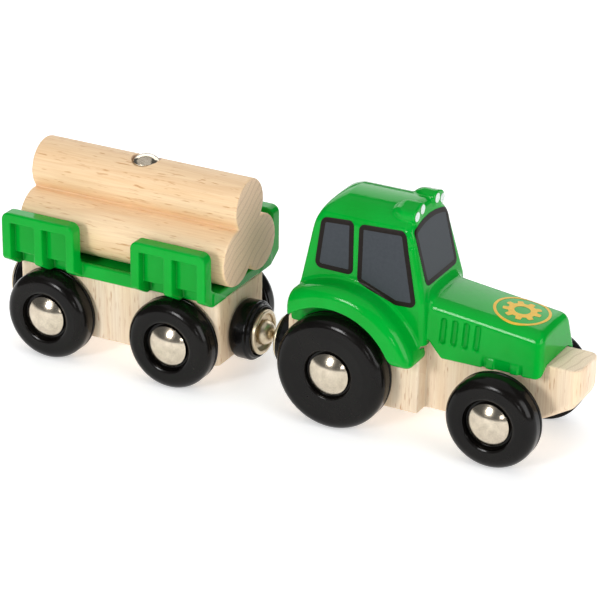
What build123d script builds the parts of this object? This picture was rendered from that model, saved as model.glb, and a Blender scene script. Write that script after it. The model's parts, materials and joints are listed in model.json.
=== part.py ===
from build123d import *
import os
from math import atan2, cos, radians, sin

# Wooden-railway toy tractor with a magnet-coupled log trailer.
# Millimetres. +X is forwards, +Y is the driver's left, +Z is up.
# The origin is on the ground, under the middle of the coupled pair.

# Stations along the length
overall_length = 134.85
nose_x = overall_length / 2
tractor_rear_axle_x = nose_x - 50.2
tractor_front_axle_x = tractor_rear_axle_x + 35.5
contact_x = tractor_rear_axle_x - 20.3
coupling_length = 7.9
tractor_tail_x = contact_x + coupling_length
trailer_front_x = contact_x - coupling_length
trailer_rear_x = -overall_length / 2 + coupling_length
trailer_mid_x = (trailer_front_x + trailer_rear_x) / 2
trailer_wheelbase = 29.8

# Wheels, axles and hubcaps
big_wheel_radius = 12.3
small_wheel_radius = 9.8
wheel_outer_y = 15.7
wheel_inner_y = 10.5
wheel_shoulder = 2.2
wheel_face_dish = 0.4
back_rim = 0.8
back_groove = 0.35
hub_recess_radius = 5.3
hub_recess_floor_y = 14.25
hub_boss_radius = 3.0
axle_radius = 1.25
running_clearance = 0.05
side_play = 0.3
hubcap_radius = 4.5
hubcap_base_y = 14.7
hubcap_skirt = 0.25
hubcap_top_y = 16.45
axle_end_y = 15.3

# Beech blocks
block_bottom = 4.9
tractor_block_top = 20.5
tractor_block_half = 9.0
nose_half = 5.3
step_x = tractor_rear_axle_x + 17.3
nose_sweep_x = tractor_rear_axle_x + 24.8
nose_sweep_z = 12.5
nose_chin_radius = 2.0
nose_corner_radius = 1.8
trailer_block_half = 9.8
trailer_block_top = 19.8
block_edge = 0.7
block_corner = 1.1
block_room = 0.2

# Cab, hood and fenders
wall = 1.6
cab_base_half = 9.8
cab_waist_z = 29.0
cab_eaves_half = 8.4
cab_eaves_z = 43.6
roof_ridge_z = 48.2
cab_rear_waist_z = 28.2
cab_rear_rake = 4.4
cab_front_waist_z = 29.7
cab_front_waist_set = 0.45
cab_front_rake = 5.2
roof_rear_radius = 5.0
roof_front_radius = 2.5
pillar_edge = 0.5
hood_front_edge = 1.5
cab_rear_x = tractor_rear_axle_x - 9.6
cab_front_x = tractor_rear_axle_x + 18.8
tail_step_reach = 1.9
tail_step_bottom = 19.8
tail_step_top = 25.0
hood_rear_x = tractor_rear_axle_x + 17.2
hood_front_x = tractor_rear_axle_x + 43.6
hood_bottom = 18.6
hood_lean = 5.0
hood_shoulder = 2.2
hood_crown = 0.9
hood_corner_reach = 5.2
hood_corner_top_reach = 1.2
hood_corner_height = 3.0
hood_rear_section = (7.2, 9.2, 11.3)
hood_front_section = (6.7, 8.9, 8.2)
fender_inner_radius = 15.3
fender_outer_radius = 18.8
fender_half = 15.6
fender_root_y = 8.4
fender_crest_x = 5.6
fender_crest_z = 18.3
fender_tip_rise = 7.6
fender_tip_inset_x = 17.6
fender_corner = 1.1
fender_edge = 1.0
fender_rear_x = tractor_rear_axle_x - 9.5
fender_tip_z = 17.7
louvre_count = 4
louvre_pitch = 2.45
louvre_width = 1.0
louvre_height = 4.9
louvre_depth = 0.5
louvre_mid_x = tractor_rear_axle_x + 25.6
louvre_mid_y = 8.25
louvre_mid_z = 24.2
louvre_overcut = 0.3
rib_width = 1.8
rib_spacing = 5.2
rib_recess_x = tractor_rear_axle_x + 35.2
rib_recess_y = 8.4
rib_recess_z = 19.6
rib_recess_length = 8.6
rib_recess_height = 2.6
rib_recess_reach = 2.0
pod_width = 5.2
pod_height = 3.2
pod_length = 3.2
pod_tail = 2.3
pod_tilt = 19.0
pod_y = 4.55
pod_z = 46.8
pod_front_x = tractor_rear_axle_x + 14.5

# Screws
screw_radius = 1.2
screw_head_radius = 2.4
screw_head_depth = 1.2
screw_clearance = 0.2
screw_boss_radius = 2.7
body_screw_top = 25.5
rear_boss_top = roof_ridge_z - 1
front_boss_top = 28.4
rear_screw_x = tractor_rear_axle_x + 8.0
front_screw_x = tractor_rear_axle_x + 22.5
bed_screw_spacing = 26.0
bed_screw_length = 11.0

# Coupling, on a centre line this high
coupling_z = 10.4
barrel_radius = 6.4
barrel_edge = 1.2
barrel_lip_radius = 5.85
barrel_lip_setback = 2.6
barrel_lip_step = 1.0
barrel_cup_radius = 5.15
barrel_cup_floor = 5.1
magnet_radius = 4.85
magnet_front = 2.1
magnet_back = 4.15
magnet_dish_radius = 4.05
magnet_dish_floor = 3.35
magnet_dish_floor_radius = 2.9
magnet_bore_radius = 1.75
magnet_bore_start = 3.45
contact_gap = 0.03
pin_ball_radius = 2.72
pin_ball_middle = contact_gap + pin_ball_radius
pin_neck = 3.05
pin_radius = 1.1
pin_length = 13.0

# Trailer bed
bed_half_length = 24.55
bed_floor_thickness = 2.3
tray_half = 12.7
tray_lip_top = 23.0
tray_lip_half = 11.4
tray_lip_slope = 1.0
panel_outer_y = 16.2
panel_inner_y = 13.1
panel_foot_rise = 2.2
panel_inner_foot_rise = 4.1
panel_top = 32.4
panel_length = 17.7
infill_outer_y = 14.1
infill_bottom = 23.0
infill_slope = 1.2
weld_overlap = 0.5
post_width = 2.1
rail_height = 2.3
panel_corner = 1.8

# Load
log_length = 49.6
log_front_x = trailer_front_x + 1.95
log_clearance = 0.15
low_log_radius = 6.1
low_log_y = 5.0
top_log_radius = 5.85
top_log_rise = 9.9
log_edge = 0.35
stud_seat_radius = 3.2
stud_seat_depth = 1.0
stud_radius = 2.9
stud_rim = 0.35
stud_height = 1.35
stud_shank_radius = 1.1
stud_shank_length = 8.0

os.makedirs("parts", exist_ok=True)


def save(sub_part, label):
    """Label a finished sub-part and write it as one STEP."""
    sub_part.part.label = label
    export_step(sub_part.part, f"parts/{label}.step")


def cross_plane(x, y, z, side=1):
    """A plane at x, y, z that faces sideways, along +Y or -Y."""
    return Plane(origin=(x, y, z), x_dir=(1, 0, 0), z_dir=(0, side, 0))


def axle_lathe(x, z, side):
    """Lathe plane on an axle: local x is the radius, local y the distance out to that side."""
    return Plane(origin=(x, 0, z), x_dir=(1, 0, 0), z_dir=(0, 0, side))


def coupling_lathe(face_x, way):
    """Lathe plane on a coupling: local x is the distance back from its face, local y the radius."""
    return Plane(origin=(face_x, 0, coupling_z), x_dir=(-way, 0, 0), z_dir=(0, way, 0))


# ---------------------------------------------------------------- running gear
def make_axle(label, x, z):
    """A plain steel axle pressed through the block."""
    with BuildPart() as axle:
        with BuildSketch(cross_plane(x, 0, z)):
            Circle(axle_radius)
        extrude(amount=axle_end_y, both=True)
    save(axle, label)


def make_wheel(label, x, radius, side, boss_y):
    """A moulded wheel with a rounded outer shoulder, a rear rim and an inner hub boss."""
    bore = axle_radius + running_clearance
    rim_y = wheel_inner_y + back_rim
    tread_y = rim_y + back_groove
    face_radius = radius - wheel_shoulder
    with BuildPart() as wheel:
        with BuildSketch(axle_lathe(x, radius, side)):
            with BuildLine():
                Polyline(
                    (bore, hub_recess_floor_y),
                    (bore, boss_y),
                    (hub_boss_radius, boss_y),
                    (hub_boss_radius, wheel_inner_y),
                    (radius, wheel_inner_y),
                    (radius, rim_y),
                    (radius - back_groove, rim_y),
                    (radius - back_groove, tread_y),
                    (radius, tread_y),
                    (radius, wheel_outer_y - wheel_shoulder),
                )
                TangentArc(
                    (radius, wheel_outer_y - wheel_shoulder),
                    (face_radius, wheel_outer_y),
                    tangent=(0, 1),
                )
                Polyline(
                    (face_radius, wheel_outer_y),
                    (hub_recess_radius, wheel_outer_y - wheel_face_dish),
                    (hub_recess_radius, hub_recess_floor_y),
                    (bore, hub_recess_floor_y),
                )
            make_face()
        revolve(axis=Axis((x, 0, radius), (0, 1, 0)))
    save(wheel, label)


def make_hubcaps(label, x, z):
    """The two domed caps pressed on the ends of one axle."""
    dome_base_y = hubcap_base_y + hubcap_skirt
    with BuildPart() as caps:
        for side in (-1, 1):
            with BuildSketch(axle_lathe(x, z, side)):
                with BuildLine():
                    Polyline(
                        (0, hubcap_top_y),
                        (0, axle_end_y),
                        (axle_radius, axle_end_y),
                        (axle_radius, hubcap_base_y),
                        (hubcap_radius, hubcap_base_y),
                        (hubcap_radius, dome_base_y),
                    )
                    TangentArc((0, hubcap_top_y), (hubcap_radius, dome_base_y), tangent=(1, 0))
                make_face()
            revolve(axis=Axis((x, 0, z), (0, 1, 0)))
    save(caps, label)


def make_running_gear(station, x, radius, block_half):
    """One axle with its two wheels and two hubcaps."""
    boss_y = block_half + side_play
    make_axle(f"{station}_axle", x, radius)
    make_hubcaps(f"{station}_hubcaps", x, radius)
    make_wheel(f"{station}_wheel_right", x, radius, -1, boss_y)
    make_wheel(f"{station}_wheel_left", x, radius, 1, boss_y)


trailer_axles_x = [trailer_mid_x + trailer_wheelbase / 2, trailer_mid_x - trailer_wheelbase / 2]
make_running_gear("tractor_rear", tractor_rear_axle_x, big_wheel_radius, tractor_block_half)
make_running_gear("tractor_front", tractor_front_axle_x, small_wheel_radius, nose_half)
make_running_gear("trailer_front", trailer_axles_x[0], small_wheel_radius, trailer_block_half)
make_running_gear("trailer_rear", trailer_axles_x[1], small_wheel_radius, trailer_block_half)


# ---------------------------------------------------------------- couplings
def make_coupling(station, face_x, way):
    """Barrel, ring magnet and rivet of one coupling. way is +1 when its face looks forwards."""
    axis = Axis((face_x, 0, coupling_z), (1, 0, 0))
    lathe = coupling_lathe(face_x, way)
    lip_step = barrel_lip_setback + barrel_lip_step

    with BuildPart() as barrel:
        with BuildSketch(lathe):
            with BuildLine():
                Polyline(
                    (coupling_length - barrel_edge, barrel_radius),
                    (lip_step, barrel_radius),
                    (lip_step, barrel_lip_radius),
                    (barrel_lip_setback, barrel_lip_radius),
                    (barrel_lip_setback, barrel_cup_radius),
                    (barrel_cup_floor, barrel_cup_radius),
                    (barrel_cup_floor, pin_radius),
                    (coupling_length, pin_radius),
                    (coupling_length, barrel_radius - barrel_edge),
                )
                TangentArc(
                    (coupling_length - barrel_edge, barrel_radius),
                    (coupling_length, barrel_radius - barrel_edge),
                    tangent=(1, 0),
                )
            make_face()
        revolve(axis=axis)
    save(barrel, f"{station}_coupling_barrel")

    with BuildPart() as magnet:
        with BuildSketch(lathe):
            with BuildLine():
                Polyline(
                    (magnet_front, magnet_dish_radius),
                    (magnet_front, magnet_radius),
                    (magnet_back, magnet_radius),
                    (magnet_back, magnet_bore_radius),
                    (magnet_bore_start, magnet_bore_radius),
                    (magnet_dish_floor, magnet_dish_floor_radius),
                )
                TangentArc(
                    (magnet_dish_floor, magnet_dish_floor_radius),
                    (magnet_front, magnet_dish_radius),
                    tangent=(0, 1),
                )
            make_face()
        revolve(axis=axis)
    save(magnet, f"{station}_coupling_magnet")

    with BuildPart() as pin:
        with BuildSketch(lathe):
            with BuildLine():
                TangentArc(
                    (contact_gap, 0), (pin_ball_middle, pin_ball_radius), tangent=(0, 1)
                )
                Polyline(
                    (pin_ball_middle, pin_ball_radius),
                    (pin_neck, pin_radius),
                    (pin_length, pin_radius),
                    (pin_length, 0),
                    (contact_gap, 0),
                )
            make_face()
        revolve(axis=axis)
    save(pin, f"{station}_coupling_pin")


make_coupling("tractor", contact_x, -1)
make_coupling("trailer_front", contact_x, 1)
make_coupling("trailer_rear", -overall_length / 2, -1)


# ---------------------------------------------------------------- tractor chassis
with BuildPart() as tractor_chassis:
    with BuildSketch(Plane.XZ):
        with BuildLine():
            Polyline(
                (nose_sweep_x, block_bottom),
                (tractor_tail_x, block_bottom),
                (tractor_tail_x, tractor_block_top),
                (nose_x, tractor_block_top),
                (nose_x, nose_sweep_z),
            )
            TangentArc((nose_sweep_x, block_bottom), (nose_x, nose_sweep_z), tangent=(1, 0))
        chin = make_face().vertices().sort_by(Axis.X)[-2:].sort_by(Axis.Y)[0]
        fillet(chin, radius=nose_chin_radius)
    extrude(amount=tractor_block_half, both=True)
    # The waist and nose are narrower: one pocket is milled off each flank
    with BuildSketch(Plane.XY.offset(block_bottom - 1)):
        for side in (-1, 1):
            with Locations((step_x, side * nose_half)):
                Rectangle(nose_x, 10, align=(Align.MIN, Align.MIN if side > 0 else Align.MAX))
    extrude(amount=tractor_block_top, mode=Mode.SUBTRACT)
    fillet(tractor_chassis.edges().filter_by(Axis.Z).group_by(Axis.X)[-1], radius=nose_corner_radius)
    fillet(tractor_chassis.edges().filter_by(Axis.Z).group_by(Axis.X)[0], radius=block_corner)
    # Bores for the two axles
    for axle_x, axle_z in (
        (tractor_rear_axle_x, big_wheel_radius),
        (tractor_front_axle_x, small_wheel_radius),
    ):
        with BuildSketch(cross_plane(axle_x, 0, axle_z)):
            Circle(axle_radius)
        extrude(amount=tractor_block_half + 1, both=True, mode=Mode.SUBTRACT)
    # Countersunk holes for the two body screws, from below
    with Locations(Plane.XY.offset(block_bottom)):
        with Locations(
            Location((rear_screw_x, 0, 0), (180, 0, 0)),
            Location((front_screw_x, 0, 0), (180, 0, 0)),
        ):
            CounterSinkHole(
                radius=screw_radius + screw_clearance,
                counter_sink_radius=screw_head_radius,
                depth=tractor_block_top,
                counter_sink_angle=90,
            )
    # Blind hole for the coupling rivet
    with BuildSketch(Plane.YZ.offset(tractor_tail_x)):
        with Locations((0, coupling_z)):
            Circle(pin_radius)
    extrude(amount=pin_length - coupling_length, mode=Mode.SUBTRACT)
save(tractor_chassis, "tractor_chassis")


# ---------------------------------------------------------------- tractor body
def cab_block(inset):
    """The cab as a solid: its arched front view cut to its side view, both drawn in by inset."""
    eaves = cab_eaves_half - inset
    base = cab_base_half - inset
    eaves_z = cab_eaves_z - inset / 2
    with BuildPart() as block:
        with BuildSketch(Plane.YZ.offset(cab_rear_x - 1)):
            with BuildLine():
                Polyline(
                    (-eaves, eaves_z),
                    (-base, cab_waist_z),
                    (-base, tractor_block_top),
                    (base, tractor_block_top),
                    (base, cab_waist_z),
                    (eaves, eaves_z),
                )
                ThreePointArc((-eaves, eaves_z), (0, roof_ridge_z - inset), (eaves, eaves_z))
            make_face()
        extrude(amount=cab_front_x - cab_rear_x + 2)
        with BuildSketch(Plane.XZ):
            side_view = Polygon(
                (cab_rear_x + inset, tractor_block_top),
                (cab_rear_x + inset, cab_rear_waist_z),
                (cab_rear_x + cab_rear_rake + inset, roof_ridge_z - inset),
                (cab_front_x - cab_front_rake - inset, roof_ridge_z - inset),
                (cab_front_x - cab_front_waist_set - inset, cab_front_waist_z),
                (cab_front_x - inset, tractor_block_top),
                align=None,
            )
            roof_corners = side_view.vertices().group_by(Axis.Y)[-1].sort_by(Axis.X)
            fillet(roof_corners[0], radius=roof_rear_radius - inset)
            fillet(roof_corners[1], radius=roof_front_radius - inset)
        extrude(amount=cab_base_half + 1, both=True, mode=Mode.INTERSECT)
    return block.part


def hood_section(plane, section, inset):
    """One cross-section of the hood, with rounded shoulders and a crowned top."""
    top_half, bottom_half, height = section
    with BuildSketch(plane) as outline:
        with BuildLine():
            Polyline(
                (-top_half + inset, height - inset),
                (-bottom_half + inset, 0),
                (bottom_half - inset, 0),
                (top_half - inset, height - inset),
            )
            ThreePointArc(
                (-top_half + inset, height - inset),
                (0, height - inset + hood_crown),
                (top_half - inset, height - inset),
            )
        make_face()
        fillet(outline.vertices().group_by(Axis.Y)[-1], radius=hood_shoulder - inset / 2)
    return outline.sketch


def hood_block(inset):
    """The hood as a solid, lofted from the cab to its leaning front, drawn in by inset."""
    rear = Plane(origin=(hood_rear_x, 0, hood_bottom), x_dir=(0, 1, 0), z_dir=(1, 0, 0))
    front = Plane(
        origin=(hood_front_x - inset, 0, hood_bottom),
        x_dir=(0, 1, 0),
        z_dir=(cos(radians(hood_lean)), 0, sin(radians(hood_lean))),
    )
    sections = [
        hood_section(rear, hood_rear_section, inset),
        hood_section(front, hood_front_section, inset),
    ]
    with BuildPart() as block:
        loft(sections)
    return block.part


def fender(side):
    """One rear fender: a ring sector round the wheel, with a straight rear end and a round tip."""
    rear = fender_rear_x - tractor_rear_axle_x
    tip_z = fender_tip_z - big_wheel_radius
    rear_top = (rear, (fender_outer_radius**2 - rear**2) ** 0.5)
    rear_foot = (rear, (fender_inner_radius**2 - rear**2) ** 0.5)
    tip = (fender_outer_radius, fender_tip_rise)
    inner_tip = ((fender_inner_radius**2 - tip_z**2) ** 0.5, tip_z)
    wheel_side = Plane(
        origin=(tractor_rear_axle_x, side * fender_root_y, big_wheel_radius),
        x_dir=(1, 0, 0),
        z_dir=(0, -1, 0),
    )
    with BuildPart() as ring:
        with BuildSketch(wheel_side) as sector:
            with BuildLine():
                Line(rear_foot, rear_top)
                ThreePointArc(rear_top, (fender_crest_x, fender_crest_z), tip)
                Polyline(tip, (fender_tip_inset_x, tip_z), inner_tip)
                ThreePointArc(inner_tip, (0, fender_inner_radius), rear_foot)
            make_face()
            corners = sector.vertices().sort_by(Axis.X)
            fillet(corners[:2], radius=fender_corner)
            fillet(corners[2:], radius=fender_corner)
        extrude(amount=-side * (fender_half - fender_root_y))
        rim = ring.faces().sort_by(Axis.Y)[-1 if side > 0 else 0]
        fillet(rim.edges(), radius=fender_edge)
    return ring.part


cab_outer = cab_block(0)
cab_inner = cab_block(wall)
hood_outer = hood_block(0)
hood_inner = hood_block(wall)
fenders = [fender(-1), fender(1)]

with BuildPart() as lamp_pods:
    for side in (-1, 1):
        pod_face = Plane(
            origin=(pod_front_x, side * pod_y, pod_z),
            x_dir=(0, cos(radians(pod_tilt)), -side * sin(radians(pod_tilt))),
            z_dir=(1, 0, 0),
        )
        with BuildSketch(pod_face):
            SlotOverall(pod_width, pod_height)
        extrude(amount=-pod_length)
        with BuildSketch(pod_face.offset(-pod_length)):
            SlotOverall(pod_width, pod_height)
        with BuildSketch(pod_face.offset(-pod_length - pod_tail)):
            with Locations((0, -pod_height / 3)):
                SlotOverall(pod_width / 4, pod_height / 5)
        loft()

with BuildPart() as cab_shape:
    add(cab_outer)
    pillars = cab_shape.edges().filter_by_position(Axis.Z, 30, 40).filter_by(GeomType.LINE)
    fillet(pillars, radius=pillar_edge)

with BuildPart() as hood_shape:
    add(hood_outer)
    front_rim = hood_shape.faces().sort_by(Axis.X)[-1].edges()
    fillet(front_rim.sort_by(Axis.Z)[1:], radius=hood_front_edge)
    # The lower rear corner is cut back at 45 degrees
    with BuildSketch(Plane.XZ):
        Polygon(
            (hood_rear_x - 1, hood_bottom - 1),
            (hood_rear_x + hood_corner_reach, hood_bottom - 1),
            (hood_rear_x + hood_corner_top_reach, hood_bottom + hood_corner_height),
            (hood_rear_x - 1, hood_bottom + hood_corner_height),
            align=None,
        )
    extrude(amount=cab_base_half + 1, both=True, mode=Mode.SUBTRACT)

with BuildPart() as tractor_body:
    add(cab_shape.part)
    add(hood_shape.part)
    add(fenders)
    add(lamp_pods.part)
    # A low step closes the body over the tail of the block
    with BuildSketch(Plane.XY.offset(tail_step_bottom)):
        with Locations((cab_rear_x, 0)):
            Rectangle(2 * tail_step_reach, 2 * cab_base_half)
    extrude(amount=tail_step_top - tail_step_bottom)
    # Room for the block between the fender tips
    with BuildSketch(Plane.XY.offset(tractor_block_top)):
        with Locations(((cab_rear_x + step_x) / 2, 0)):
            Rectangle(step_x - cab_rear_x + 4, 2 * (tractor_block_half + block_room))
    extrude(amount=-(tractor_block_top - block_bottom), mode=Mode.SUBTRACT)
    add(cab_inner, mode=Mode.SUBTRACT)
    add(hood_inner, mode=Mode.SUBTRACT)
    # The nose of the block passes under the hood's front wall
    with BuildSketch(Plane.XY.offset(hood_bottom - 1)):
        with Locations((hood_front_x, 0)):
            Rectangle(8, 2 * nose_half)
    extrude(amount=tractor_block_top - hood_bottom + 1, mode=Mode.SUBTRACT)
    # Louvres pressed into each side of the hood, and ribs over the front wheels
    top_half, bottom_half, side_height = hood_rear_section
    side_lean = atan2(bottom_half - top_half, side_height)
    for side in (-1, 1):
        louvre_face = Plane(
            origin=(louvre_mid_x, side * louvre_mid_y, louvre_mid_z),
            x_dir=(1, 0, 0),
            z_dir=(0, side * cos(side_lean), sin(side_lean)),
        )
        with BuildSketch(louvre_face):
            with GridLocations(louvre_pitch, 0, louvre_count, 1):
                SlotOverall(louvre_height, louvre_width, rotation=90)
        extrude(amount=-louvre_depth - louvre_overcut, mode=Mode.SUBTRACT)
        with BuildSketch(cross_plane(rib_recess_x, side * rib_recess_y, rib_recess_z, side)):
            Rectangle(rib_recess_length, rib_recess_height)
            with GridLocations(rib_spacing, 0, 2, 1):
                Rectangle(rib_width, rib_recess_height, mode=Mode.SUBTRACT)
        extrude(amount=rib_recess_reach, mode=Mode.SUBTRACT)
    # Screw bosses hang from the roof and from the hood
    for screw_x, boss_top in ((rear_screw_x, rear_boss_top), (front_screw_x, front_boss_top)):
        with BuildSketch(Plane.XY.offset(tractor_block_top)):
            with Locations((screw_x, 0)):
                Circle(screw_boss_radius)
        extrude(amount=boss_top - tractor_block_top)
        with BuildSketch(Plane.XY.offset(tractor_block_top)):
            with Locations((screw_x, 0)):
                Circle(screw_radius)
        extrude(amount=body_screw_top - tractor_block_top, mode=Mode.SUBTRACT)
save(tractor_body, "tractor_body")


def make_screws(label, places, seat_z, up, length):
    """Countersunk screws with their heads at seat_z. up is +1 when they point upwards."""
    with BuildPart() as screws:
        for x in places:
            lathe = Plane(origin=(x, 0, seat_z), x_dir=(1, 0, 0), z_dir=(0, -up, 0))
            with BuildSketch(lathe):
                Polygon(
                    (0, 0),
                    (screw_head_radius - screw_clearance, 0),
                    (screw_radius, screw_head_depth),
                    (screw_radius, length),
                    (0, length),
                    align=None,
                )
            revolve(axis=Axis((x, 0, seat_z), (0, 0, 1)))
    save(screws, label)


make_screws(
    "body_screws", (rear_screw_x, front_screw_x), block_bottom, 1, body_screw_top - block_bottom
)

# ---------------------------------------------------------------- trailer chassis
bed_screws_x = (trailer_mid_x - bed_screw_spacing / 2, trailer_mid_x + bed_screw_spacing / 2)
bed_floor_top = trailer_block_top + bed_floor_thickness

with BuildPart() as trailer_chassis:
    with BuildSketch(Plane.XY.offset(block_bottom)):
        with Locations((trailer_mid_x, 0)):
            Rectangle(trailer_front_x - trailer_rear_x, 2 * trailer_block_half)
    extrude(amount=trailer_block_top - block_bottom)
    fillet(trailer_chassis.edges().filter_by(Axis.Z), radius=block_corner)
    fillet(trailer_chassis.faces().sort_by(Axis.Z)[0].edges(), radius=block_edge)
    for axle_x in trailer_axles_x:
        with BuildSketch(cross_plane(axle_x, 0, small_wheel_radius)):
            Circle(axle_radius)
        extrude(amount=trailer_block_half + 1, both=True, mode=Mode.SUBTRACT)
    # Pilot holes for the bed screws, and a rivet hole in each end
    with Locations(Plane.XY.offset(trailer_block_top)):
        with Locations(*[(x, 0) for x in bed_screws_x]):
            Hole(radius=screw_radius, depth=bed_screw_length - bed_floor_thickness)
    for end_x, inward in ((trailer_front_x, -1), (trailer_rear_x, 1)):
        with BuildSketch(Plane.YZ.offset(end_x)):
            with Locations((0, coupling_z)):
                Circle(pin_radius)
        extrude(amount=inward * (pin_length - coupling_length), mode=Mode.SUBTRACT)
save(trailer_chassis, "trailer_chassis")

# ---------------------------------------------------------------- trailer bed
panel_mids_x = (
    trailer_mid_x - bed_half_length + panel_length / 2,
    trailer_mid_x + bed_half_length - panel_length / 2,
)
foot_z = trailer_block_top + panel_foot_rise
inner_foot_z = trailer_block_top + panel_inner_foot_rise

with BuildPart() as trailer_bed:
    # A shallow tray with a low lip along each side
    with BuildSketch(Plane.YZ.offset(trailer_mid_x)):
        Polygon(
            (-tray_half, trailer_block_top),
            (tray_half, trailer_block_top),
            (tray_half, tray_lip_top),
            (tray_lip_half, tray_lip_top),
            (tray_lip_half - tray_lip_slope, bed_floor_top),
            (tray_lip_slope - tray_lip_half, bed_floor_top),
            (-tray_lip_half, tray_lip_top),
            (-tray_half, tray_lip_top),
            align=None,
        )
    extrude(amount=bed_half_length, both=True)
    for panel_x in panel_mids_x:
        for side in (-1, 1):
            # A thin wall behind the posts
            with BuildSketch(Plane.YZ.offset(panel_x)):
                Polygon(
                    (side * (tray_lip_half - tray_lip_slope), bed_floor_top - weld_overlap),
                    (side * panel_inner_y, inner_foot_z),
                    (side * panel_inner_y, panel_top),
                    (side * infill_outer_y, panel_top),
                    (side * infill_outer_y, infill_bottom),
                    (side * (tray_half - weld_overlap), infill_bottom - infill_slope),
                    (side * (tray_half - weld_overlap), bed_floor_top - weld_overlap),
                    align=None,
                )
            extrude(amount=panel_length / 2, both=True)
            # Three posts on sloped feet
            for i in (-1, 0, 1):
                post_x = panel_x + i * (panel_length - post_width) / 2
                with BuildSketch(Plane.YZ.offset(post_x)):
                    Polygon(
                        (side * (tray_half - 1), trailer_block_top),
                        (side * tray_half, trailer_block_top),
                        (side * panel_outer_y, foot_z),
                        (side * panel_outer_y, panel_top),
                        (side * panel_inner_y, panel_top),
                        (side * panel_inner_y, inner_foot_z),
                        (side * (tray_half - 1), bed_floor_top),
                        align=None,
                    )
                extrude(amount=post_width / 2, both=True)
            # The rail across the top
            with BuildSketch(Plane.YZ.offset(panel_x)):
                with Locations((side * (panel_inner_y + panel_outer_y) / 2, panel_top)):
                    Rectangle(panel_outer_y - panel_inner_y, 2 * rail_height)
                with Locations((side * panel_outer_y, panel_top)):
                    Rectangle(8, 2 * rail_height, align=(Align.CENTER, Align.MIN),
                              mode=Mode.SUBTRACT)
            extrude(amount=panel_length / 2, both=True)
    top_corners = trailer_bed.edges().filter_by(Axis.Y).filter_by_position(
        Axis.Z, panel_top - 0.1, panel_top + 0.1
    )
    fillet(top_corners, radius=panel_corner)
    with Locations(Plane.XY.offset(bed_floor_top)):
        with Locations(*[(x, 0) for x in bed_screws_x]):
            CounterSinkHole(
                radius=screw_radius + screw_clearance,
                counter_sink_radius=screw_head_radius,
                counter_sink_angle=90,
            )
save(trailer_bed, "trailer_bed")

make_screws("bed_screws", bed_screws_x, bed_floor_top, -1, bed_screw_length)

# ---------------------------------------------------------------- load
low_log_z = bed_floor_top + log_clearance + low_log_radius
top_log_z = low_log_z + top_log_rise
log_top = top_log_z + top_log_radius
log_mid_x = log_front_x - log_length / 2
stud_seat_z = log_top - stud_seat_depth

with BuildPart() as log_bundle:
    with BuildSketch(Plane.YZ.offset(log_front_x)):
        with Locations((-low_log_y, low_log_z), (low_log_y, low_log_z)):
            Circle(low_log_radius)
        with Locations((0, top_log_z)):
            Circle(top_log_radius)
        Polygon((-low_log_y, low_log_z), (low_log_y, low_log_z), (0, top_log_z), align=None)
    extrude(amount=-log_length)
    end_faces = log_bundle.faces().filter_by(Axis.X)
    chamfer(end_faces.edges(), length=log_edge)
    with BuildSketch(Plane.XY.offset(stud_seat_z)):
        with Locations((log_mid_x, 0)):
            Circle(stud_seat_radius)
    extrude(amount=top_log_radius, mode=Mode.SUBTRACT)
    with BuildSketch(Plane.XY.offset(stud_seat_z)):
        with Locations((log_mid_x, 0)):
            Circle(stud_shank_radius)
    extrude(amount=-stud_shank_length, mode=Mode.SUBTRACT)
save(log_bundle, "log_bundle")

with BuildPart() as log_stud:
    with BuildSketch(Plane(origin=(log_mid_x, 0, stud_seat_z), x_dir=(1, 0, 0), z_dir=(0, -1, 0))):
        with BuildLine():
            Polyline(
                (0, stud_height),
                (0, -stud_shank_length),
                (stud_shank_radius, -stud_shank_length),
                (stud_shank_radius, 0),
                (stud_radius, 0),
                (stud_radius, stud_rim),
            )
            TangentArc((0, stud_height), (stud_radius, stud_rim), tangent=(1, 0))
        make_face()
    revolve(axis=Axis((log_mid_x, 0, 0), (0, 0, 1)))
save(log_stud, "log_stud")
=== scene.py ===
"""The looks of the toy tractor and its log trailer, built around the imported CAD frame.

Shapes are worked out in millimetres and turned into metres when their meshes are made.
"""
import json
import math

import bmesh
import bpy
import numpy as np
from mathutils import Matrix, Vector

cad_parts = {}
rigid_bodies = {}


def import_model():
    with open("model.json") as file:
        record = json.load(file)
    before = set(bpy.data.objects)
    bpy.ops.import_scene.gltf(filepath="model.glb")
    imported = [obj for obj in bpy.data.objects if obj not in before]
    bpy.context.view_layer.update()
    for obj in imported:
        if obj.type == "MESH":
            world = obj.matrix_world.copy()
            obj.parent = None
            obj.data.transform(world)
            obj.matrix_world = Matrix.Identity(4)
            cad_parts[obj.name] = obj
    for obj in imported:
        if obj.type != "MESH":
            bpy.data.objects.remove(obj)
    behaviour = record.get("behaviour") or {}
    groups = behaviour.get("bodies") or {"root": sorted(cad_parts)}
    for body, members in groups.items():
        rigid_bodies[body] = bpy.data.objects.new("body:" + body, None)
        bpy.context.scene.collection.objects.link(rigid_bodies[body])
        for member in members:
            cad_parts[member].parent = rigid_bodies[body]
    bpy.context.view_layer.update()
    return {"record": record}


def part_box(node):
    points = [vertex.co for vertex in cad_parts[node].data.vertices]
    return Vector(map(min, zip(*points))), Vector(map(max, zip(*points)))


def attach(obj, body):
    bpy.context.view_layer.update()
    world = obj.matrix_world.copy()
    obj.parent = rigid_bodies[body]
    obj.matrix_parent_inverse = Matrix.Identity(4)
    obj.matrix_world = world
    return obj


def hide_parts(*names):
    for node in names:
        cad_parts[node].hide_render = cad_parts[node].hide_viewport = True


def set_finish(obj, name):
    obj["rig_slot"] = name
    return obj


MM = 0.001
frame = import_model()


def centre(node):
    """Middle of a CAD node's box, in millimetres."""
    low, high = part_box(node)
    return [(a + b) / 2 / MM for a, b in zip(low, high)]


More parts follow.
